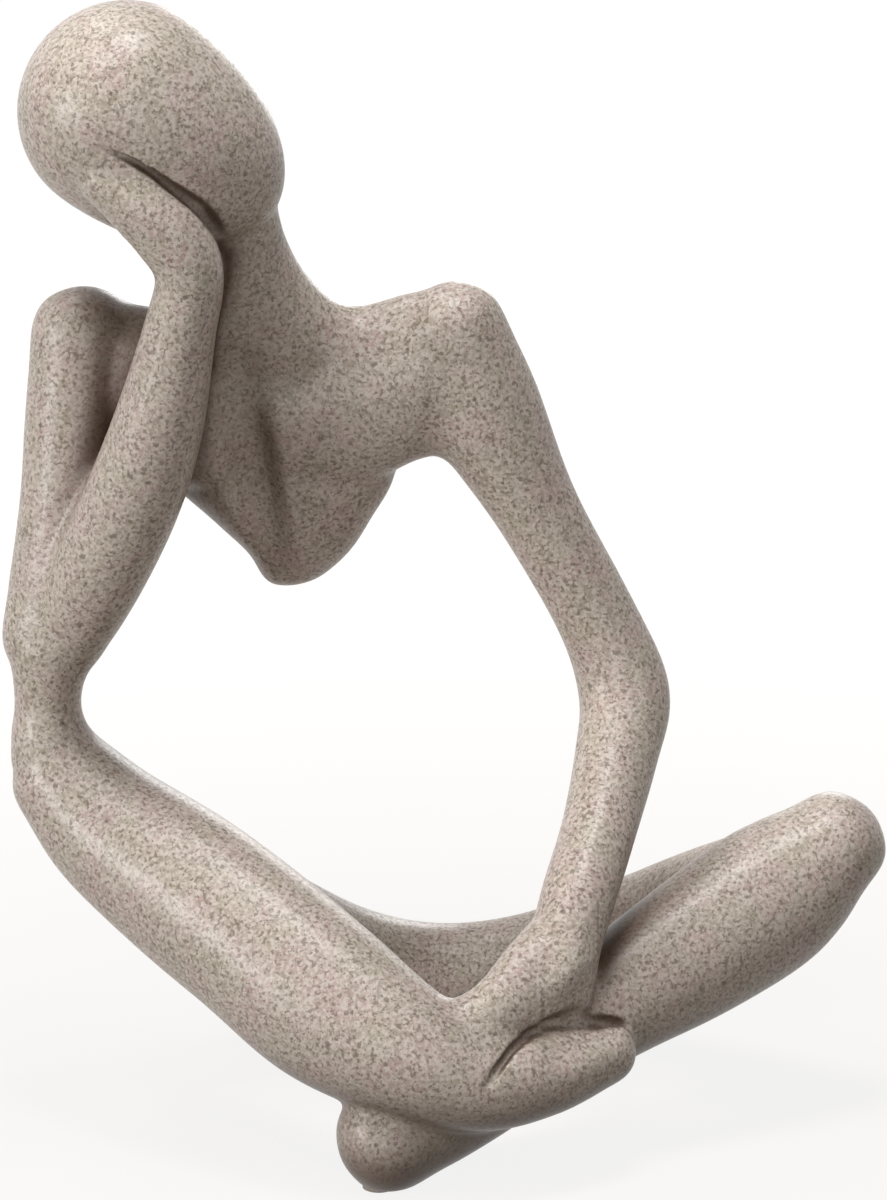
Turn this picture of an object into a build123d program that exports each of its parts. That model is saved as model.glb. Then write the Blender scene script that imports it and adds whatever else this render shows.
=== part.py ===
"""An abstract seated thinker: six cast sections, the dowel pins that join them, and three pads."""
import os
from math import cos, radians, sin

from build123d import *

# Overall size, which places every section of the figure
figure_width = 192.0
figure_depth = 112.0
figure_height = 250.0

# Thickness of each limb at its fullest
head_girth = 46.2
neck_girth = 36.0
yoke_girth = 41.0
chest_girth = 64.0
right_upper_arm_girth = 23.2
left_arm_girth = 25.4
forearm_girth = 21.0
elbow_post_girth = 19.0
saddle_girth = 31.0
right_shin_girth = 35.0
left_shin_girth = 32.4

# Dowel pins, and the glue gap round each one in its drilled holes
pin_diameter = 4.0
pin_length = 24.0
slim_pin_diameter = 3.0
slim_pin_length = 13.0
pin_chamfer = 0.4
glue_gap = 0.1
hole_spare = 0.5

# Pads that the figure stands on, and the flat land under the casting that each is stuck to
pad_thickness = 0.8
seat_pad_diameter = 12.0
foot_pad_diameter = 7.0
foot_pad_shift = 1.0
land_margin = 0.5

# How a limb's end is rounded off, and how many sections it is lofted through for each of its rows
dome_angles = (28, 52, 72, 85)
dome_length_share = 0.9
sections_per_row = 3
egg_angles = (15, 30, 45, 58, 70, 80, 87)

# Each row: place across, back and up as shares of the figure, then width and depth as shares of the limb's girth
neck_shares = [
    (-0.237, -0.045, 0.861, 0.44, 0.50),
    (-0.227, -0.025, 0.814, 0.46, 0.50),
    (-0.220, 0.000, 0.779, 0.50, 0.53),
    (-0.209, 0.035, 0.741, 0.62, 0.58),
    (-0.196, 0.072, 0.698, 0.95, 0.66),
]
neck_index = 2

yoke_shares = [
    (-0.400, 0.073, 0.660, 0.74, 0.44),
    (-0.334, 0.080, 0.648, 0.90, 0.55),
    (-0.265, 0.092, 0.634, 0.95, 0.60),
    (-0.160, 0.098, 0.630, 0.93, 0.61),
    (-0.049, 0.083, 0.656, 0.93, 0.55),
    (0.012, 0.073, 0.681, 0.72, 0.44),
]
right_shoulder_index = 1
left_shoulder_index = 4

# Level sections of the chest, from the waist tip up
chest_shares = [
    (-0.184, 0.180, 0.463, 0.10, 0.10),
    (-0.176, 0.178, 0.471, 0.21, 0.20),
    (-0.168, 0.166, 0.495, 0.36, 0.31),
    (-0.175, 0.148, 0.526, 0.55, 0.37),
    (-0.187, 0.126, 0.570, 0.79, 0.38),
    (-0.190, 0.105, 0.620, 0.74, 0.33),
    (-0.190, 0.095, 0.655, 0.55, 0.24),
]

right_upper_arm_shares = [
    (-0.405, 0.073, 0.702, 1.00, 0.93),
    (-0.415, 0.058, 0.620, 1.00, 0.95),
    (-0.425, 0.036, 0.546, 0.96, 0.95),
    (-0.449, 0.006, 0.434, 0.92, 0.92),
]
right_forearm_shares = [
    (-0.431, -0.012, 0.436, 0.84, 0.86),
    (-0.392, -0.055, 0.497, 0.98, 1.03),
    (-0.348, -0.100, 0.570, 1.00, 1.05),
    (-0.316, -0.138, 0.640, 0.92, 0.97),
    (-0.290, -0.170, 0.722, 0.74, 0.82),
    (-0.277, -0.192, 0.774, 0.69, 0.76),
    (-0.297, -0.201, 0.810, 0.76, 0.76),
    (-0.329, -0.205, 0.836, 0.72, 0.70),
    (-0.364, -0.201, 0.855, 0.56, 0.56),
]
cheek_hand_index = 7

elbow_post_shares = [
    (-0.445, -0.006, 0.432, 1.05, 1.08),
    (-0.451, -0.008, 0.398, 0.83, 0.95),
    (-0.453, -0.010, 0.374, 0.77, 0.90),
    (-0.452, -0.016, 0.352, 0.87, 1.00),
    (-0.446, -0.018, 0.325, 1.02, 1.08),
]
elbow_post_index = 2

left_arm_shares = [
    (0.010, 0.073, 0.706, 0.90, 0.84),
    (0.046, 0.085, 0.632, 1.00, 0.86),
    (0.107, 0.100, 0.540, 0.75, 0.76),
    (0.177, 0.108, 0.440, 0.71, 0.75),
    (0.209, 0.084, 0.374, 0.80, 0.77),
    (0.200, 0.008, 0.329, 0.73, 0.74),
    (0.177, -0.122, 0.276, 0.65, 0.70),
    (0.152, -0.246, 0.233, 0.64, 0.72),
    (0.135, -0.322, 0.194, 0.61, 0.66),
    (0.132, -0.366, 0.163, 0.62, 0.60),
]
left_hand_shares = [
    (0.142, -0.285, 0.216, 0.50, 0.50),
    (0.114, -0.340, 0.188, 0.66, 0.54),
    (0.083, -0.388, 0.166, 0.66, 0.50),
    (0.045, -0.428, 0.151, 0.50, 0.44),
]
palm_index = 2

# The saddle: right knee, round the back of the seat, to the left knee
saddle_shares = [
    (-0.426, -0.015, 0.298, 0.77, 0.80),
    (-0.332, 0.085, 0.220, 0.90, 0.90),
    (-0.232, 0.208, 0.131, 1.09, 0.98),
    (-0.120, 0.318, 0.066, 1.11, 1.00),
    (-0.004, 0.346, 0.051, 1.00, 0.96),
    (0.110, 0.334, 0.066, 0.96, 0.93),
    (0.220, 0.270, 0.111, 0.91, 0.88),
    (0.320, 0.165, 0.162, 0.88, 0.87),
    (0.410, 0.055, 0.211, 0.76, 0.78),
]
hip_index = 4

right_shin_shares = [
    (-0.434, -0.018, 0.307, 0.69, 0.74),
    (-0.380, -0.065, 0.268, 0.85, 0.86),
    (-0.295, -0.158, 0.230, 0.98, 0.91),
    (-0.209, -0.260, 0.192, 1.01, 0.92),
    (-0.125, -0.362, 0.152, 1.01, 0.89),
    (-0.042, -0.438, 0.123, 0.84, 0.78),
    (0.038, -0.448, 0.100, 0.65, 0.64),
    (0.112, -0.405, 0.101, 0.57, 0.57),
    (0.178, -0.344, 0.109, 0.45, 0.47),
]
shin_under_hand_index = 6
ankle_index = 5
left_shin_shares = [
    (0.454, 0.020, 0.243, 0.73, 0.76),
    (0.382, -0.028, 0.202, 1.02, 0.90),
    (0.290, -0.117, 0.166, 0.98, 0.89),
    (0.195, -0.208, 0.133, 0.83, 0.79),
    (0.101, -0.300, 0.099, 0.71, 0.69),
    (0.014, -0.377, 0.066, 0.69, 0.67),
    (-0.067, -0.440, 0.042, 0.72, 0.67),
]
foot_index = 5

# The head: an egg from the crown to the jaw, full where its two half ellipses meet
crown_shares = (-0.443, -0.070, 0.958)
jaw_shares = (-0.190, -0.045, 0.813)
head_full_share = 0.37


def place(across_share, back_share, up_share):
    """A point of the figure, from its shares of the width, depth and height."""
    return Vector(across_share * figure_width, back_share * figure_depth, up_share * figure_height)


def curve_value(fraction, before, here, there, after):
    """A value on the smooth curve through four neighbouring ones, part of the way between the middle two."""
    bend = 2 * before - 5 * here + 4 * there - after
    twist = 3 * here - 3 * there + after - before
    return here + (fraction * (there - before) + fraction**2 * bend + fraction**3 * twist) / 2


def smoothed(rows):
    """A limb's rows, with more of them on the smooth curve from each one to the next."""
    start = [2 * value - following for value, following in zip(rows[0], rows[1])]
    end = [2 * value - previous for value, previous in zip(rows[-1], rows[-2])]
    padded = [start, *rows, end]
    smooth = []
    for four in zip(padded, padded[1:], padded[2:], padded[3:]):
        for step in range(sections_per_row):
            smooth.append([curve_value(step / sections_per_row, *values) for values in zip(*four)])
    return smooth + [rows[-1]]


def heading(points, index):
    """The way that a centre line runs at one of its points."""
    before = points[max(index - 1, 0)]
    after = points[min(index + 1, len(points) - 1)]
    return (after - before).normalized()


def cross_sections(rows, girth):
    """A plane and two half sizes for each section of a limb, square to its centre line."""
    smooth = smoothed(rows)
    points = [place(*row[:3]) for row in smooth]
    sections = []
    for index, (point, row) in enumerate(zip(points, smooth)):
        direction = heading(points, index)
        plane = Plane(origin=point, x_dir=Axis.Y.direction.cross(direction), z_dir=direction)
        sections.append((plane, row[3] * girth / 2, row[4] * girth / 2))
    return sections


def parallel_sections(rows, girth, direction):
    """A plane and two half sizes for each section of a limb, all square to one way."""
    sections = []
    for row in smoothed(rows):
        plane = Plane(origin=place(*row[:3]), x_dir=Axis.Y.direction.cross(direction), z_dir=direction)
        sections.append((plane, row[3] * girth / 2, row[4] * girth / 2))
    return sections


def shrinking_sections(plane, half_width, half_depth, reach, angles):
    """Sections that shrink along a quarter ellipse, which reaches a stated way beyond the plane."""
    turns = [radians(angle) for angle in angles]
    return [(plane.offset(reach * sin(turn)), half_width * cos(turn), half_depth * cos(turn)) for turn in turns]


def dome_sections(end, way):
    """The sections that round off a limb beyond one of its ends."""
    reach = way * dome_length_share * min(end[1:])
    return shrinking_sections(*end, reach, dome_angles)


def up_to(sections, joint):
    """The sections of a limb up to one of its rows."""
    return sections[: joint * sections_per_row + 1]


def from_joint(sections, joint):
    """The sections of a limb from one of its rows on."""
    return sections[joint * sections_per_row :]


def limb(sections, domed_start=False, domed_end=False):
    """A solid lofted through a limb's sections, with its free ends rounded off."""
    run = list(sections)
    if domed_start:
        run = dome_sections(sections[0], -1)[::-1] + run
    if domed_end:
        run = run + dome_sections(sections[-1], 1)
    with BuildPart() as body:
        for plane, half_width, half_depth in run:
            with BuildSketch(plane):
                Ellipse(half_width, half_depth)
        loft()
    return body.part


def drill(*names):
    """Drill the holes of the named pins into the casting being made."""
    for name in names:
        plane, diameter, length = pins[name]
        with Locations(plane):
            Cylinder(diameter / 2 + glue_gap, length + 2 * hole_spare, mode=Mode.SUBTRACT)


def land(centre, diameter):
    """Fill a casting down to the floor plane where a pad is stuck to it."""
    with Locations((centre.X, centre.Y, 0)):
        Cylinder(diameter / 2 + land_margin, centre.Z, align=(Align.CENTER, Align.CENTER, Align.MIN))


def pin_plane(centre, towards):
    """The plane at a pin's middle, square to it."""
    return Plane(origin=centre, z_dir=(towards - centre).normalized())


# The runs that cross from one casting into the next, cut square where two castings meet
neck = cross_sections(neck_shares, neck_girth)
yoke = parallel_sections(yoke_shares, yoke_girth, Axis.X.direction)
saddle = cross_sections(saddle_shares, saddle_girth)
elbow_post = parallel_sections(elbow_post_shares, elbow_post_girth, -Axis.Z.direction)

# The head's own frame: its long axis runs from the crown to the jaw
crown = place(*crown_shares)
jaw = place(*jaw_shares)
head_length = (jaw - crown).length
head_axis = (jaw - crown).normalized()
head_centre = crown + (jaw - crown) * head_full_share
head_plane = Plane(origin=head_centre, x_dir=Axis.Y.direction.cross(head_axis), z_dir=head_axis)
head_middle = (head_plane, head_girth / 2, head_girth / 2)

# Where the hands and ankles rest, and the pins that hold them there
cheek_hand = place(*right_forearm_shares[cheek_hand_index][:3])
cheek_contact = head_centre + (cheek_hand - head_centre).normalized() * head_girth / 2
palm = place(*left_hand_shares[palm_index][:3])
shin_under_hand = place(*right_shin_shares[shin_under_hand_index][:3])
crossing_above = place(*right_shin_shares[ankle_index][:3])
crossing_below = place(*left_shin_shares[foot_index][:3])
pins = {
    "neck_pin": (from_joint(neck, neck_index)[0][0], pin_diameter, pin_length),
    "right_shoulder_pin": (from_joint(yoke, right_shoulder_index)[0][0], pin_diameter, pin_length),
    "left_shoulder_pin": (from_joint(yoke, left_shoulder_index)[0][0], pin_diameter, pin_length),
    "hip_pin": (from_joint(saddle, hip_index)[0][0], pin_diameter, pin_length),
    "elbow_pin": (from_joint(elbow_post, elbow_post_index)[0][0], pin_diameter, pin_length),
    "cheek_pin": (pin_plane(cheek_contact, head_centre), slim_pin_diameter, slim_pin_length),
    "hand_pin": (pin_plane((palm + shin_under_hand) / 2, shin_under_hand), slim_pin_diameter, slim_pin_length),
    "ankle_pin": (pin_plane((crossing_above + crossing_below) / 2, crossing_below), slim_pin_diameter, slim_pin_length),
}

# Where the pads go
pad_places = {
    "seat_pad_right": (place(*saddle_shares[hip_index - 1][:3]), seat_pad_diameter),
    "seat_pad_left": (place(*saddle_shares[hip_index + 1][:3]), seat_pad_diameter),
    "foot_pad": (place(*left_shin_shares[-1][:3]) - Vector(foot_pad_shift, 0, 0), foot_pad_diameter),
}
floor_plane = Plane.XY.offset(pad_thickness)

# Left leg: seat, thigh, knee, shin and the foot that the figure rests on
left_thigh = limb(from_joint(saddle, hip_index), domed_end=True)
left_shin = limb(cross_sections(left_shin_shares, left_shin_girth), domed_start=True, domed_end=True)
with BuildPart() as left_leg:
    add(left_thigh)
    add(left_shin)
    land(*pad_places["seat_pad_left"])
    land(*pad_places["foot_pad"])
    split(bisect_by=floor_plane, keep=Keep.TOP)
left_leg_form = left_leg.part
with BuildPart() as left_leg:
    add(left_leg_form)
    drill("hip_pin", "ankle_pin")

# Right leg: seat, thigh, knee with its post, shin and the foot across the other ankle
right_thigh = limb(up_to(saddle, hip_index), domed_start=True)
right_shin = limb(cross_sections(right_shin_shares, right_shin_girth), domed_start=True, domed_end=True)
knee_post = limb(from_joint(elbow_post, elbow_post_index))
with BuildPart() as right_leg:
    add(right_thigh)
    add(right_shin)
    add(knee_post)
    land(*pad_places["seat_pad_right"])
    split(bisect_by=floor_plane, keep=Keep.TOP)
    add(left_leg_form, mode=Mode.SUBTRACT)
right_leg_form = right_leg.part
with BuildPart() as right_leg:
    add(right_leg_form)
    drill("hip_pin", "ankle_pin", "elbow_pin", "hand_pin")

# Head: the egg with the upper half of the neck
crown_end = shrinking_sections(*head_middle, (crown - head_centre).dot(head_axis), egg_angles)
jaw_end = shrinking_sections(*head_middle, (jaw - head_centre).dot(head_axis), egg_angles)
egg = limb([*crown_end[::-1], head_middle, *jaw_end])
neck_top = limb(up_to(neck, neck_index))
with BuildPart() as head:
    add(egg)
    add(neck_top)
head_form = head.part
with BuildPart() as head:
    add(head_form)
    drill("neck_pin", "cheek_pin")

# Torso: the yoke of the shoulders, the chest that ends in the waist's tip, and the foot of the neck
torso_yoke = limb(from_joint(up_to(yoke, left_shoulder_index), right_shoulder_index))
chest = limb(parallel_sections(chest_shares, chest_girth, Axis.Z.direction))
neck_foot = limb(from_joint(neck, neck_index))
with BuildPart() as torso:
    add(torso_yoke)
    add(chest)
    add(neck_foot)
    drill("neck_pin", "right_shoulder_pin", "left_shoulder_pin")

# Right arm: from the shoulder down to the elbow on the knee, and up again to the hand on the cheek
right_shoulder = limb(up_to(yoke, right_shoulder_index), domed_start=True)
right_upper_arm = limb(cross_sections(right_upper_arm_shares, right_upper_arm_girth), domed_start=True, domed_end=True)
right_forearm = limb(cross_sections(right_forearm_shares, forearm_girth), domed_start=True, domed_end=True)
elbow_stub = limb(up_to(elbow_post, elbow_post_index))
with BuildPart() as right_arm:
    for form in (right_shoulder, right_upper_arm, right_forearm, elbow_stub):
        add(form)
    add(head_form, mode=Mode.SUBTRACT)
    drill("right_shoulder_pin", "elbow_pin", "cheek_pin")

# Left arm: from the shoulder down to the hand on the crossed ankles
left_shoulder = limb(from_joint(yoke, left_shoulder_index))
left_run = limb(cross_sections(left_arm_shares, left_arm_girth), domed_start=True, domed_end=True)
left_palm = limb(cross_sections(left_hand_shares, left_arm_girth), domed_start=True, domed_end=True)
with BuildPart() as left_arm:
    add(left_shoulder)
    add(left_run)
    add(left_palm)
    add(right_leg_form, mode=Mode.SUBTRACT)
    add(left_leg_form, mode=Mode.SUBTRACT)
    drill("left_shoulder_pin", "hand_pin")

pieces = {
    "head": head.part,
    "torso": torso.part,
    "right_arm": right_arm.part,
    "left_arm": left_arm.part,
    "right_leg": right_leg.part,
    "left_leg": left_leg.part,
}

# Dowel pins, with their ends chamfered
for name, (plane, diameter, length) in pins.items():
    with BuildPart(plane) as pin:
        Cylinder(diameter / 2, length)
        chamfer(pin.edges().filter_by(GeomType.CIRCLE), pin_chamfer)
    pieces[name] = pin.part

# Round self-adhesive pads
for name, (centre, diameter) in pad_places.items():
    with BuildPart(Plane.XY) as pad:
        with Locations((centre.X, centre.Y, 0)):
            Cylinder(diameter / 2, pad_thickness, align=(Align.CENTER, Align.CENTER, Align.MIN))
    pieces[name] = pad.part

# The figure stands on the origin: the middle of its outline, level with the pads
boxes = [piece.bounding_box() for piece in pieces.values()]
lowest = [min(tuple(box.min)[axis] for box in boxes) for axis in range(3)]
highest = [max(tuple(box.max)[axis] for box in boxes) for axis in range(3)]
middle = Vector((lowest[0] + highest[0]) / 2, (lowest[1] + highest[1]) / 2, 0)

os.makedirs("parts", exist_ok=True)
for name, piece in pieces.items():
    placed = piece.moved(Location(-middle))
    placed.label = name
    export_step(placed, f"parts/{name}.step")
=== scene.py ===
"""The thinker's looks: a speckled stone skin over the castings, felt pads, studio light and the camera."""

from math import exp, radians

import bpy
import numpy as np
import openvdb as vdb
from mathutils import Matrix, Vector
from mathutils.bvhtree import BVHTree


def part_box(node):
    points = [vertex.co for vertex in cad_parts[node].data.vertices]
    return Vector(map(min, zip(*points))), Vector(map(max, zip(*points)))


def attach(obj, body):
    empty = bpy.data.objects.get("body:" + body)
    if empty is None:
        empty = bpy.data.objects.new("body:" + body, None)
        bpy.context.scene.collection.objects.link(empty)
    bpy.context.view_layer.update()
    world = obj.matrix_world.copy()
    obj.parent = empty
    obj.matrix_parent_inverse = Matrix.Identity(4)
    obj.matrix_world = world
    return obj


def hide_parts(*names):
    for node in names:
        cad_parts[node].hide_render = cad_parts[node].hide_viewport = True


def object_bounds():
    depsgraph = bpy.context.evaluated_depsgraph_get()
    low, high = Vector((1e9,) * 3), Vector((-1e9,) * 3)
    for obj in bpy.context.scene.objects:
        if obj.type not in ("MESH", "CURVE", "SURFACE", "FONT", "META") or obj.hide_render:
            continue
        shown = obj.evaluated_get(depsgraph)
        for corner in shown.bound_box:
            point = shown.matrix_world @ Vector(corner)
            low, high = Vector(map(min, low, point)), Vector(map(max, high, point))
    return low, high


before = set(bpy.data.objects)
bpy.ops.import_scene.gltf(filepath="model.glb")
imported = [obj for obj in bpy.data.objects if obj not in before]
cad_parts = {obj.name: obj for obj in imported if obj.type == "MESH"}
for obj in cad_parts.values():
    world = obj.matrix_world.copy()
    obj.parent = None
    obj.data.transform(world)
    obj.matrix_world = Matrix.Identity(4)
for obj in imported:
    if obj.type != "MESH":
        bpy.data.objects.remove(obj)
cad_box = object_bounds()

MM = 0.001

# The six castings, which one skin covers
CASTINGS = ["head", "torso", "right_arm", "left_arm", "right_leg", "left_leg"]

FINE_CELL = 0.7 * MM
CELL = FINE_CELL
MARGIN = 12 * MM
grid_start = np.floor((np.array(cad_box[0]) - MARGIN) / CELL).astype(int)
grid_size = np.ceil((np.array(cad_box[1]) + MARGIN) / CELL).astype(int) - grid_start

# Distances are kept up to this far from the surface
BAND = 4 * CELL

# A place in the grid stays this many cells short of its far end, so that it has a cell on either side
END_CELLS = 1.001

# The ball that can't enter a filled hollow: small where limbs touch, large where they flow into each other
CREASE_RADIUS = 0.8 * MM
FLOW_RADIUS = 9 * MM

# The blur that rounds the skin, and how many times its spread it reaches
SOFTENING = 0.8 * MM
BLUR_REACH = 2.5

# Where limbs flow into each other: a point as shares of the figure's box, and how far the flow reaches
FLOWS = {
    "neck_and_shoulders": ((0.34, 0.60, 0.72), 34 * MM),
    "left_armpit": ((0.45, 0.60, 0.64), 22 * MM),
    "left_shoulder": ((0.50, 0.62, 0.70), 20 * MM),
    "right_shoulder": ((0.16, 0.62, 0.70), 14 * MM),
    "elbow_and_knee": ((0.06, 0.50, 0.37), 26 * MM),
    "hand_and_shin": ((0.536, 0.085, 0.163), 12 * MM),
    "wrist_and_palm": ((0.608, 0.132, 0.176), 10 * MM),
    "foot_rest": ((0.425, 0.110, 0.000), 16 * MM),
}

# How fast a flow grows inwards from its reach: above 1 it is full before it gets to its point
FLOW_STEEPNESS = 1.6

# Grooves in the stone: how far the edges soften, a casting that the groove leaves whole, and the points of
# its line on the surface. Each point is given as shares of the figure's box, with the depth and the tube's
# radius there
GROOVES = {
    "hand_on_cheek": (
        0.4 * MM,
        None,
        [
            ((0.131, 0.295, 0.890), 0.4 * MM, 0.7 * MM),
            ((0.158, 0.296, 0.882), 1.2 * MM, 0.8 * MM),
            ((0.185, 0.300, 0.869), 1.9 * MM, 1.0 * MM),
            ((0.212, 0.314, 0.852), 1.9 * MM, 1.3 * MM),
            ((0.234, 0.340, 0.833), 1.4 * MM, 1.8 * MM),
            ((0.252, 0.405, 0.808), 0.1 * MM, 2.4 * MM),
        ],
    ),
    "hand_and_foot": (
        0.8 * MM,
        None,
        [
            ((0.630, 0.150, 0.146), 1.4 * MM, 1.1 * MM),
            ((0.592, 0.115, 0.142), 1.8 * MM, 1.1 * MM),
            ((0.571, 0.070, 0.136), 1.8 * MM, 1.0 * MM),
            ((0.553, 0.030, 0.121), 1.4 * MM, 1.0 * MM),
            ((0.541, 0.014, 0.107), 0.1 * MM, 0.9 * MM),
        ],
    ),
    "foot_top": (
        0.5 * MM,
        None,
        [
            ((0.605, 0.140, 0.145), 1.4 * MM, 1.2 * MM),
            ((0.640, 0.180, 0.146), 2.6 * MM, 1.5 * MM),
            ((0.672, 0.200, 0.144), 2.8 * MM, 1.6 * MM),
            ((0.700, 0.210, 0.136), 2.2 * MM, 1.6 * MM),
        ],
    ),
    "under_the_wrist": (
        4.0 * MM,
        None,
        [
            ((0.632, 0.128, 0.160), 1.5 * MM, 8.0 * MM),
            ((0.662, 0.150, 0.163), 3.5 * MM, 8.0 * MM),
        ],
    ),
    "breast_bone": (
        3.0 * MM,
        "right_arm",
        [
            ((0.270, 0.530, 0.690), 0.4 * MM, 6 * MM),
            ((0.275, 0.529, 0.627), 3.0 * MM, 6 * MM),
            ((0.284, 0.554, 0.581), 4.0 * MM, 6 * MM),
            ((0.294, 0.580, 0.540), 3.0 * MM, 6 * MM),
            ((0.306, 0.619, 0.499), 0.4 * MM, 6 * MM),
        ],
    ),
}

# How many times a point of a groove's line is moved towards the surface, until it lies on it
SURFACE_STEPS = 3

# A face of the skin is only measured against castings whose box is no further away than this
CASTING_REACH = 4 * MM

# The stone's noises: lumps to the metre, detail, roughness, and the values that count as none and as all
CLOUDS = (110, 4, 0.5, 0.40, 0.60)
MOTTLE = (380, 3, 0.6, 0.36, 0.64)
GRAIN = (1000, 2, 0.65, 0.34, 0.66)
SPECKS = (1150, 2, 0.5, 0.54, 0.64)

# The spots: cells to the metre, and the radius of the smallest and the largest as shares of a cell. A cell
# whose radius comes out well below 0 has no spot. A spot fades out across its edge, from as far inside its
# radius as SPOT_INNER to as far as SPOT_OUTER, which is below 0 and so lies outside
SPOTS = (480, -0.30, 0.30)
SPOT_OUTER = -0.05
SPOT_INNER = 0.09

# What makes specks and spots ragged: lumps to the metre, and how far they push
RAGGEDNESS = (1200, 0.6 * MM)

# The stone's colours
OLIVE_CLOUD = (0.50, 0.445, 0.335)
PINK_CLOUD = (0.585, 0.415, 0.385)
MOTTLE_COLOUR = (0.29, 0.225, 0.165)
GRAIN_COLOUR = (0.78, 0.685, 0.605)
SPECK_COLOUR = (0.20, 0.15, 0.11)
SPOT_COLOUR = (0.14, 0.10, 0.075)
# painted shade: the dark brown laid into creases and hollows, where shade falls
PAINTED_SHADE_COLOUR = (0.12, 0.075, 0.05)

# How strongly each layer covers what lies under it
MOTTLE_STRENGTH = 0.55
GRAIN_STRENGTH = 0.85
SPECK_STRENGTH = 0.7
SPOT_STRENGTH = 0.6

# The painted shade that darkens creases and hollows: how wide a hollow each layer reaches, and how strongly
# it covers the stone
PAINTED_SHADES = [(12 * MM, 0.65), (40 * MM, 0.75)]

# How open to the sky a place is where the painted shade begins, and where it is full
PAINTED_SHADE_BEGINS = 0.96
PAINTED_SHADE_FULL = 0.45
PAINTED_SHADE_SAMPLES = 8

# The stone's gloss, and its fine bump: lumps to the metre and detail, strength and depth
STONE_ROUGHNESS = 0.35
STONE_SPECULAR = 0.35
BUMPS = (1300, 3)
BUMP_STRENGTH = 0.25
BUMP_DEPTH = 0.12 * MM

# The steel of the pins, with fine streaks
STEEL_STREAKS = (2500, 3, 0.5, 0.3, 0.7)
STEEL_DARK = (0.55, 0.55, 0.57)
STEEL_LIGHT = (0.63, 0.63, 0.65)
STEEL_ROUGHNESS = 0.35

# The felt of the pads, with matted fibres
FELT_FIBRES = (3000, 4, 0.7, 0.3, 0.7)
FELT_DARK = (0.34, 0.28, 0.23)
FELT_LIGHT = (0.50, 0.43, 0.37)
FELT_ROUGHNESS = 0.95
FELT_SHEEN = 0.3

# The floor: its side and its dull colour, and the glow that whitens it, which is weaker near the figure
FLOOR_SIDE = 8
FLOOR_COLOUR = (0.12, 0.10, 0.08, 1)
WHITE = (1, 1, 1, 1)
NEAR_DISTANCE = 0.12
FAR_DISTANCE = 0.50
NEAR_GLOW = 0.86
FAR_GLOW = 1

# The sky that lights the figure
SKY_COLOUR = (1, 0.88, 0.78, 1)
SKY_STRENGTH = 0.02

# The lamps: place, side and watts. They all face the middle of the figure
LAMP_TARGET = (0, 0, 0.12)
LAMPS = {
    "overhead": ((0.00, -0.09, 1.12), 0.25, 4.3),
    "upper_left": ((-0.33, -0.33, 1.00), 0.25, 1.5),
    "left": ((-1.70, -0.98, 0.46), 0.60, 18.0),
    "front": ((0.00, -0.98, 0.29), 0.30, 1.4),
    "right": ((0.58, -0.58, 0.69), 0.25, 0.8),
    "upper_back": ((-0.33, 0.33, 1.00), 0.25, 1.2),
    "back": ((0.20, 1.10, 0.40), 0.40, 2.2),
}

# The photograph's viewpoint: metres away, degrees above level, and the lens and sensor in millimetres
CAMERA_DISTANCE = 0.95
CAMERA_TILT = 15
CAMERA_TARGET = Vector((-0.0008, 0.0046, 0.1172))
CAMERA_LENS = 130.3
SENSOR_SIDE = 36


# The skin over the castings


def place(shares):
    """A point of the figure's box, from its shares of the width, depth and height."""
    low, high = (np.array(corner) for corner in cad_box)
    return low + (high - low) * np.array(shares)


def joined_castings(names):
    """Castings as one set of corners and triangles."""
    points, triangles, count = [], [], 0
    for name in names:
        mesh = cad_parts[name].data
        mesh.calc_loop_triangles()
        corners = np.empty(len(mesh.vertices) * 3, np.float32)
        mesh.vertices.foreach_get("co", corners)
        faces = np.empty(len(mesh.loop_triangles) * 3, np.int32)
        mesh.loop_triangles.foreach_get("vertices", faces)
        points.append(corners.reshape(-1, 3))
        triangles.append(faces.reshape(-1, 3) + count)
        count += len(mesh.vertices)
    return np.vstack(points), np.vstack(triangles).astype(np.uint32)


def level_set(points, triangles, quads, outside, inside):
    """Distances from a closed surface, as far out and in as stated."""
    return vdb.FloatGrid.createLevelSetFromPolygons(
        points,
        triangles=triangles,
        quads=quads,
        transform=vdb.createLinearTransform(CELL),
        exBandWidth=outside / CELL,
        inBandWidth=inside / CELL,
    )


def as_array(grid):
    """A grid's distances as an array over the figure's box."""
    array = np.zeros(grid_size, np.float32)
    grid.copyToArray(array, ijk=tuple(int(start) for start in grid_start))
    return array


def filled(points, triangles, radius):
    """Distances from the surface, with its hollows filled as far as a ball of the radius can't enter."""
    spare = BAND + CELL
    grown = level_set(points, triangles, None, radius + spare, spare)
    outer_points, outer_triangles, outer_quads = grown.convertToPolygons(isovalue=radius)
    rolled = level_set(outer_points, outer_triangles, outer_quads, spare, radius + spare)
    return np.clip(as_array(rolled) + radius, -BAND, BAND)


def flow_share():
    """How far the large filling holds at each cell: 1 in the middle of a flow, 0 beyond its reach."""
    axes = [(grid_start[axis] + np.arange(grid_size[axis])) * CELL for axis in range(3)]
    x, y, z = np.meshgrid(*axes, indexing="ij", sparse=True)
    share = np.zeros(grid_size, np.float32)
    for shares, reach in FLOWS.values():
        centre = place(shares)
        distance = np.sqrt((x - centre[0]) ** 2 + (y - centre[1]) ** 2 + (z - centre[2]) ** 2)
        nearness = np.clip(FLOW_STEEPNESS * (1 - distance / reach), 0, 1)
        share = np.maximum(share, nearness**2 * (3 - 2 * nearness))
    return share


def softened(field, spread):
    """The field with a Gaussian blur of the spread along each axis."""
    reach = int(np.ceil(BLUR_REACH * spread / CELL))
    weights = [exp(-0.5 * (step * CELL / spread) ** 2) for step in range(-reach, reach + 1)]
    total = sum(weights)
    for axis in range(3):
        blurred = np.zeros_like(field)
        for step, weight in zip(range(-reach, reach + 1), weights):
            blurred += weight / total * np.roll(field, step, axis)
        field = blurred
    return field


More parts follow.
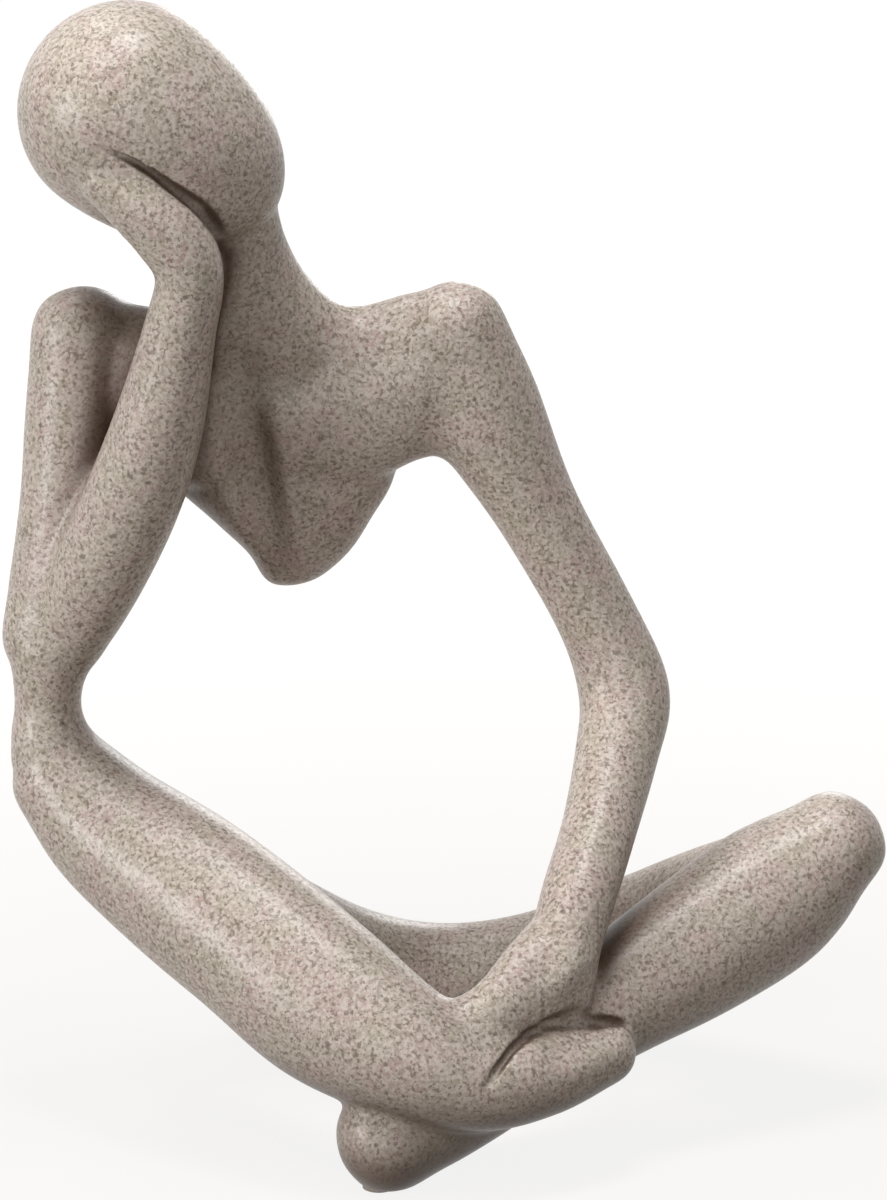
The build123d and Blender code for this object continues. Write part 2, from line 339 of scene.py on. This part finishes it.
def sampled(field, points):
    """The field's value at each point, between its cells."""
    cells = np.clip(points / CELL - grid_start, 0, grid_size - END_CELLS)
    low = np.floor(cells).astype(int)
    part = cells - low
    value = np.zeros(len(points))
    for corner in np.ndindex(2, 2, 2):
        weight = np.prod(np.where(corner, part, 1 - part), axis=1)
        value += weight * field[tuple((low + corner).T)]
    return value


def outward(field, points):
    """The way out of the surface at each point: the way that the distance grows."""
    steps = np.eye(3) * CELL
    slopes = [sampled(field, points + step) - sampled(field, points - step) for step in steps]
    slopes = np.stack(slopes, axis=1)
    return slopes / np.linalg.norm(slopes, axis=1, keepdims=True)


def tube_distance(points, start, end):
    """The distance of each point from a tube between two others, each given with its radius."""
    (start_point, start_radius), (end_point, end_radius) = start, end
    along = end_point - start_point
    share = np.clip((points - start_point) @ along / (along @ along), 0, 1)
    radius = start_radius + (end_radius - start_radius) * share
    return np.linalg.norm(points - start_point - share[..., None] * along, axis=-1) - radius


def groove_tube(field, line):
    """The tube that carves a groove: its middle and its radius at each point of the groove's line."""
    tube = []
    for shares, depth, radius in line:
        point = place(shares)
        for _ in range(SURFACE_STEPS):
            point = point - sampled(field, point[None])[0] * outward(field, point[None])[0]
        tube.append((point + (radius - depth) * outward(field, point[None])[0], radius))
    return tube


def cells_around(points, spare):
    """The block of the grid's cells that holds the points with room to spare, as a slice along each axis."""
    low = np.floor((np.min(points, axis=0) - spare) / CELL).astype(int) - grid_start
    high = np.ceil((np.max(points, axis=0) + spare) / CELL).astype(int) - grid_start
    return tuple(slice(start, stop) for start, stop in zip(np.maximum(low, 0), np.minimum(high, grid_size)))


def grooved(field, softness, whole, line):
    """The field with a groove along a line of points on the surface, each with its depth and radius."""
    tube = groove_tube(field, line)
    spare = max(radius for _, radius in tube) + BAND + softness
    window = cells_around([middle for middle, _ in tube], spare)
    ranges = [np.arange(part.start, part.stop) for part in window]
    cells = np.stack(np.meshgrid(*ranges, indexing="ij"), axis=-1)
    points = (cells + grid_start) * CELL
    carved = -np.min([tube_distance(points, *ends) for ends in zip(tube, tube[1:])], axis=0)
    overlap = np.clip(softness - np.abs(field[window] - carved), 0, None)
    result = np.maximum(field[window], carved) + overlap**2 / (4 * softness)
    if whole:
        kept = as_array(level_set(*joined_castings([whole]), None, BAND, BAND))
        result = np.minimum(result, kept[window])
    field[window] = result
    return field


def nearest_casting(centres):
    """The casting that each point is nearest to, by its place in the list."""
    trees = []
    for name in CASTINGS:
        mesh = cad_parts[name].data
        corners = [vertex.co for vertex in mesh.vertices]
        trees.append(BVHTree.FromPolygons(corners, [polygon.vertices for polygon in mesh.polygons]))
    nearest = np.zeros(len(centres), int)
    boxes = [[np.array(corner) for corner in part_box(name)] for name in CASTINGS]
    for index, centre in enumerate(centres):
        best = None
        for number, tree in enumerate(trees):
            low, high = boxes[number]
            if (centre < low - CASTING_REACH).any() or (centre > high + CASTING_REACH).any():
                continue
            distance = tree.find_nearest(Vector(centre))[3]
            if best is None or distance < best:
                best = distance
                nearest[index] = number
    return nearest


def stone_field():
    """Distances from the finished skin: hollows filled, edges softened and grooves carved."""
    points, triangles = joined_castings(CASTINGS)
    crease = filled(points, triangles, CREASE_RADIUS)
    flow = filled(points, triangles, FLOW_RADIUS)
    field = softened(crease + (flow - crease) * flow_share(), SOFTENING)
    for softness, whole, line in GROOVES.values():
        field = grooved(field, softness, whole, line)
    return field


def skin_piece(name, corners, faces, ways_out):
    """The part of the skin that stands for one casting."""
    used, renumbered = np.unique(faces, return_inverse=True)
    renumbered = renumbered.reshape(-1, 4)
    mesh = bpy.data.meshes.new(name + "_skin")
    mesh.from_pydata(corners[used].tolist(), [], renumbered.tolist())
    mesh.update()
    if mesh.polygons[0].normal.dot(Vector(ways_out[used[renumbered[0][0]]])) < 0:
        mesh.flip_normals()
    mesh.shade_smooth()
    mesh.normals_split_custom_set_from_vertices(ways_out[used].tolist())
    piece = bpy.data.objects.new(name + "_skin", mesh)
    bpy.context.scene.collection.objects.link(piece)
    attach(piece, "root")
    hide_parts(name)
    return piece


def skin():
    """One piece for each casting, cut from one smooth skin, so that no seam shows between them."""
    field = stone_field()
    grid = vdb.FloatGrid(BAND)
    grid.copyFromArray(field, ijk=tuple(int(start) for start in grid_start))
    grid.transform = vdb.createLinearTransform(CELL)
    corners, _, faces = grid.convertToPolygons(isovalue=0)
    ways_out = outward(field, corners)
    nearest = nearest_casting(corners[faces].mean(axis=1))
    return [
        skin_piece(name, corners, faces[nearest == number], ways_out) for number, name in enumerate(CASTINGS)
    ]


# The materials


def new_material(name):
    """An empty node material, its node tree, and its output's surface socket."""
    material = bpy.data.materials.new(name)
    material.use_nodes = True
    tree = material.node_tree
    tree.nodes.clear()
    output = tree.nodes.new("ShaderNodeOutputMaterial")
    return material, tree, output.inputs["Surface"]


def new_shader(name):
    """A material with one shader: the material, its node tree, the shader and the object's coordinates."""
    material, tree, surface = new_material(name)
    shader = tree.nodes.new("ShaderNodeBsdfPrincipled")
    tree.links.new(shader.outputs["BSDF"], surface)
    coordinates = tree.nodes.new("ShaderNodeTexCoord").outputs["Object"]
    return material, tree, shader, coordinates


def noise(tree, coordinates, scale, detail, roughness=0.5):
    """A noise texture's value, with about `scale` lumps to the metre."""
    node = tree.nodes.new("ShaderNodeTexNoise")
    node.inputs["Scale"].default_value = scale
    node.inputs["Detail"].default_value = detail
    node.inputs["Roughness"].default_value = roughness
    tree.links.new(coordinates, node.inputs["Vector"])
    return node.outputs["Fac"]


def between(tree, value, low, high):
    """The value stretched so that `low` gives 0 and `high` gives 1."""
    node = tree.nodes.new("ShaderNodeMapRange")
    node.interpolation_type = "SMOOTHSTEP"
    node.inputs["From Min"].default_value = low
    node.inputs["From Max"].default_value = high
    tree.links.new(value, node.inputs["Value"])
    return node.outputs["Result"]


def lumps(tree, coordinates, scale, detail, roughness, low, high):
    """A noise stretched so that `low` gives 0 and `high` gives 1."""
    return between(tree, noise(tree, coordinates, scale, detail, roughness), low, high)


def scaled(tree, value, factor):
    """The value times a number."""
    node = tree.nodes.new("ShaderNodeMath")
    node.operation = "MULTIPLY"
    node.inputs[1].default_value = factor
    tree.links.new(value, node.inputs[0])
    return node.outputs["Value"]


def mixed(tree, factor, first, second):
    """A colour between two others. Each is a colour or a socket."""
    node = tree.nodes.new("ShaderNodeMix")
    node.data_type = "RGBA"
    for socket, colour in ((node.inputs["A"], first), (node.inputs["B"], second)):
        if isinstance(colour, tuple):
            socket.default_value = (*colour, 1)
        else:
            tree.links.new(colour, socket)
    tree.links.new(factor, node.inputs["Factor"])
    return node.outputs["Result"]


def painted(tree, ground, colour, cover, strength):
    """The ground with a colour over it where the cover is, as strongly as stated."""
    return mixed(tree, scaled(tree, cover, strength), ground, colour)


def spots(tree, coordinates, scale, smallest, largest):
    """Spots of mixed sizes, at most one to a cell, as a value that is 1 inside a spot."""
    node = tree.nodes.new("ShaderNodeTexVoronoi")
    node.inputs["Scale"].default_value = scale
    tree.links.new(coordinates, node.inputs["Vector"])
    channels = tree.nodes.new("ShaderNodeSeparateColor")
    tree.links.new(node.outputs["Color"], channels.inputs["Color"])
    radius = tree.nodes.new("ShaderNodeMapRange")
    radius.inputs["To Min"].default_value = smallest
    radius.inputs["To Max"].default_value = largest
    tree.links.new(channels.outputs["Red"], radius.inputs["Value"])
    inside = tree.nodes.new("ShaderNodeMath")
    inside.operation = "SUBTRACT"
    tree.links.new(radius.outputs["Result"], inside.inputs[0])
    tree.links.new(node.outputs["Distance"], inside.inputs[1])
    return between(tree, inside.outputs["Value"], SPOT_OUTER, SPOT_INNER)


def wavered(tree, coordinates, scale, reach):
    """The coordinates pushed about a little, so that specks and spots come out ragged."""
    wander = tree.nodes.new("ShaderNodeTexNoise")
    wander.inputs["Scale"].default_value = scale
    tree.links.new(coordinates, wander.inputs["Vector"])
    push = tree.nodes.new("ShaderNodeVectorMath")
    push.operation = "MULTIPLY_ADD"
    push.inputs[1].default_value = (reach, reach, reach)
    tree.links.new(wander.outputs["Color"], push.inputs[0])
    tree.links.new(coordinates, push.inputs[2])
    return push.outputs["Vector"]


def hollows(tree, reach):
    """The painted shade's mask: 1 deep in creases and hollows narrower than about the reach, where shade
    falls, and 0 on open faces.
    """
    node = tree.nodes.new("ShaderNodeAmbientOcclusion")
    node.samples = PAINTED_SHADE_SAMPLES
    node.inputs["Distance"].default_value = reach
    return between(tree, node.outputs["AO"], PAINTED_SHADE_BEGINS, PAINTED_SHADE_FULL)


def stone_colour(tree, coordinates):
    """Pink and olive clouds, mottled and grainy, with ragged dark specks and spots, and painted shade in
    creases and hollows.
    """
    ground = mixed(tree, lumps(tree, coordinates, *CLOUDS), OLIVE_CLOUD, PINK_CLOUD)
    ground = painted(tree, ground, MOTTLE_COLOUR, lumps(tree, coordinates, *MOTTLE), MOTTLE_STRENGTH)
    grain = scaled(tree, lumps(tree, coordinates, *GRAIN), GRAIN_STRENGTH)
    ground = mixed(tree, grain, GRAIN_COLOUR, ground)
    ragged = wavered(tree, coordinates, *RAGGEDNESS)
    ground = painted(tree, ground, SPECK_COLOUR, lumps(tree, ragged, *SPECKS), SPECK_STRENGTH)
    ground = painted(tree, ground, SPOT_COLOUR, spots(tree, ragged, *SPOTS), SPOT_STRENGTH)
    # painted shade: the stone is darkened in creases and hollows, where shade falls
    for reach, strength in PAINTED_SHADES:
        ground = painted(tree, ground, PAINTED_SHADE_COLOUR, hollows(tree, reach), strength)
    return ground


def stone_material():
    """Speckled sandstone with a satin gloss and a fine bump."""
    material, tree, shader, coordinates = new_shader("speckled_stone")
    tree.links.new(stone_colour(tree, coordinates), shader.inputs["Base Color"])
    shader.inputs["Roughness"].default_value = STONE_ROUGHNESS
    shader.inputs["Specular IOR Level"].default_value = STONE_SPECULAR
    bump = tree.nodes.new("ShaderNodeBump")
    bump.inputs["Strength"].default_value = BUMP_STRENGTH
    bump.inputs["Distance"].default_value = BUMP_DEPTH
    tree.links.new(noise(tree, coordinates, *BUMPS), bump.inputs["Height"])
    tree.links.new(bump.outputs["Normal"], shader.inputs["Normal"])
    return material


def steel_material():
    """Ground steel of the dowel pins, which lie inside the castings."""
    material, tree, shader, coordinates = new_shader("dowel_steel")
    streaks = lumps(tree, coordinates, *STEEL_STREAKS)
    tree.links.new(mixed(tree, streaks, STEEL_DARK, STEEL_LIGHT), shader.inputs["Base Color"])
    shader.inputs["Metallic"].default_value = 1
    shader.inputs["Roughness"].default_value = STEEL_ROUGHNESS
    return material


def felt_material():
    """Sand-coloured felt of the pads."""
    material, tree, shader, coordinates = new_shader("sand_felt")
    fibres = lumps(tree, coordinates, *FELT_FIBRES)
    tree.links.new(mixed(tree, fibres, FELT_DARK, FELT_LIGHT), shader.inputs["Base Color"])
    shader.inputs["Roughness"].default_value = FELT_ROUGHNESS
    shader.inputs["Sheen Weight"].default_value = FELT_SHEEN
    return material


def dress(piece, material):
    """Give a piece one material all over."""
    piece.data.materials.clear()
    piece.data.materials.append(material)


# The studio


def seen_directly(tree):
    """1 for what is seen itself, in a reflection or through glass, and 0 for the light that it casts."""
    path = tree.nodes.new("ShaderNodeLightPath")
    seen = path.outputs["Is Camera Ray"]
    for kind in ("Is Glossy Ray", "Is Transmission Ray"):
        either = tree.nodes.new("ShaderNodeMath")
        either.operation = "MAXIMUM"
        tree.links.new(seen, either.inputs[0])
        tree.links.new(path.outputs[kind], either.inputs[1])
        seen = either.outputs["Value"]
    return seen


def chosen_when_seen(tree, seen, unseen, surface):
    """Give the surface one shader for being seen directly, and another for the light that it casts."""
    choice = tree.nodes.new("ShaderNodeMixShader")
    tree.links.new(seen_directly(tree), choice.inputs["Fac"])
    tree.links.new(unseen, choice.inputs[1])
    tree.links.new(seen, choice.inputs[2])
    tree.links.new(choice.outputs["Shader"], surface)


def floor_glow(tree):
    """The floor's white glow, which is a little weaker near the figure."""
    distance = tree.nodes.new("ShaderNodeVectorMath")
    distance.operation = "LENGTH"
    tree.links.new(tree.nodes.new("ShaderNodeTexCoord").outputs["Object"], distance.inputs[0])
    away = tree.nodes.new("ShaderNodeMapRange")
    away.inputs["From Min"].default_value = NEAR_DISTANCE
    away.inputs["From Max"].default_value = FAR_DISTANCE
    away.inputs["To Min"].default_value = NEAR_GLOW
    away.inputs["To Max"].default_value = FAR_GLOW
    tree.links.new(distance.outputs["Value"], away.inputs["Value"])
    glow = tree.nodes.new("ShaderNodeEmission")
    glow.inputs["Color"].default_value = WHITE
    tree.links.new(away.outputs["Result"], glow.inputs["Strength"])
    return glow.outputs["Emission"]


def floor():
    """A floor that is white to the camera, keeps the figure's shadow and throws little light back up."""
    bpy.ops.mesh.primitive_plane_add(size=FLOOR_SIDE)
    plane = bpy.context.object
    plane.name = "floor"
    material, tree, surface = new_material("pale_floor")
    dull = tree.nodes.new("ShaderNodeBsdfDiffuse")
    dull.inputs["Color"].default_value = FLOOR_COLOUR
    both = tree.nodes.new("ShaderNodeAddShader")
    tree.links.new(dull.outputs["BSDF"], both.inputs[0])
    tree.links.new(floor_glow(tree), both.inputs[1])
    chosen_when_seen(tree, both.outputs["Shader"], dull.outputs["BSDF"], surface)
    dress(plane, material)


def background(tree, colour, strength):
    """A plain background shader."""
    node = tree.nodes.new("ShaderNodeBackground")
    node.inputs["Color"].default_value = colour
    node.inputs["Strength"].default_value = strength
    return node.outputs["Background"]


def world_light():
    """A dim, warm sky, which is white to the camera."""
    world = bpy.data.worlds.new("studio")
    bpy.context.scene.world = world
    world.use_nodes = True
    tree = world.node_tree
    tree.nodes.clear()
    output = tree.nodes.new("ShaderNodeOutputWorld")
    sky = background(tree, SKY_COLOUR, SKY_STRENGTH)
    white = background(tree, WHITE, 1)
    chosen_when_seen(tree, white, sky, output.inputs["Surface"])


def lamp(name, position, side, watts):
    """A soft square lamp that faces the middle of the figure."""
    data = bpy.data.lights.new(name, "AREA")
    data.size = side
    data.energy = watts
    lamp_object = bpy.data.objects.new(name, data)
    bpy.context.scene.collection.objects.link(lamp_object)
    lamp_object.location = position
    aim = Vector(LAMP_TARGET) - Vector(position)
    lamp_object.rotation_euler = aim.to_track_quat("-Z", "Y").to_euler()


def camera():
    """The camera of the photograph: a long lens, from a little above."""
    data = bpy.data.cameras.new("camera")
    data.sensor_fit = "VERTICAL"
    data.sensor_height = SENSOR_SIDE
    data.lens = CAMERA_LENS
    camera_object = bpy.data.objects.new("camera", data)
    bpy.context.scene.collection.objects.link(camera_object)
    camera_object.rotation_euler = (radians(90 - CAMERA_TILT), 0, 0)
    view = camera_object.rotation_euler.to_matrix() @ Vector((0, 0, -1))
    camera_object.location = CAMERA_TARGET - CAMERA_DISTANCE * view
    bpy.context.scene.camera = camera_object


# The scene

stone = stone_material()
steel = steel_material()
felt = felt_material()
for piece in skin():
    dress(piece, stone)
for name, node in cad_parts.items():
    if name.endswith("_pin"):
        dress(node, steel)
    elif "pad" in name:
        dress(node, felt)
    else:
        dress(node, stone)

floor()
world_light()
for name, (position, side, watts) in LAMPS.items():
    lamp(name, position, side, watts)
camera()
bpy.context.scene.view_settings.view_transform = "Standard"
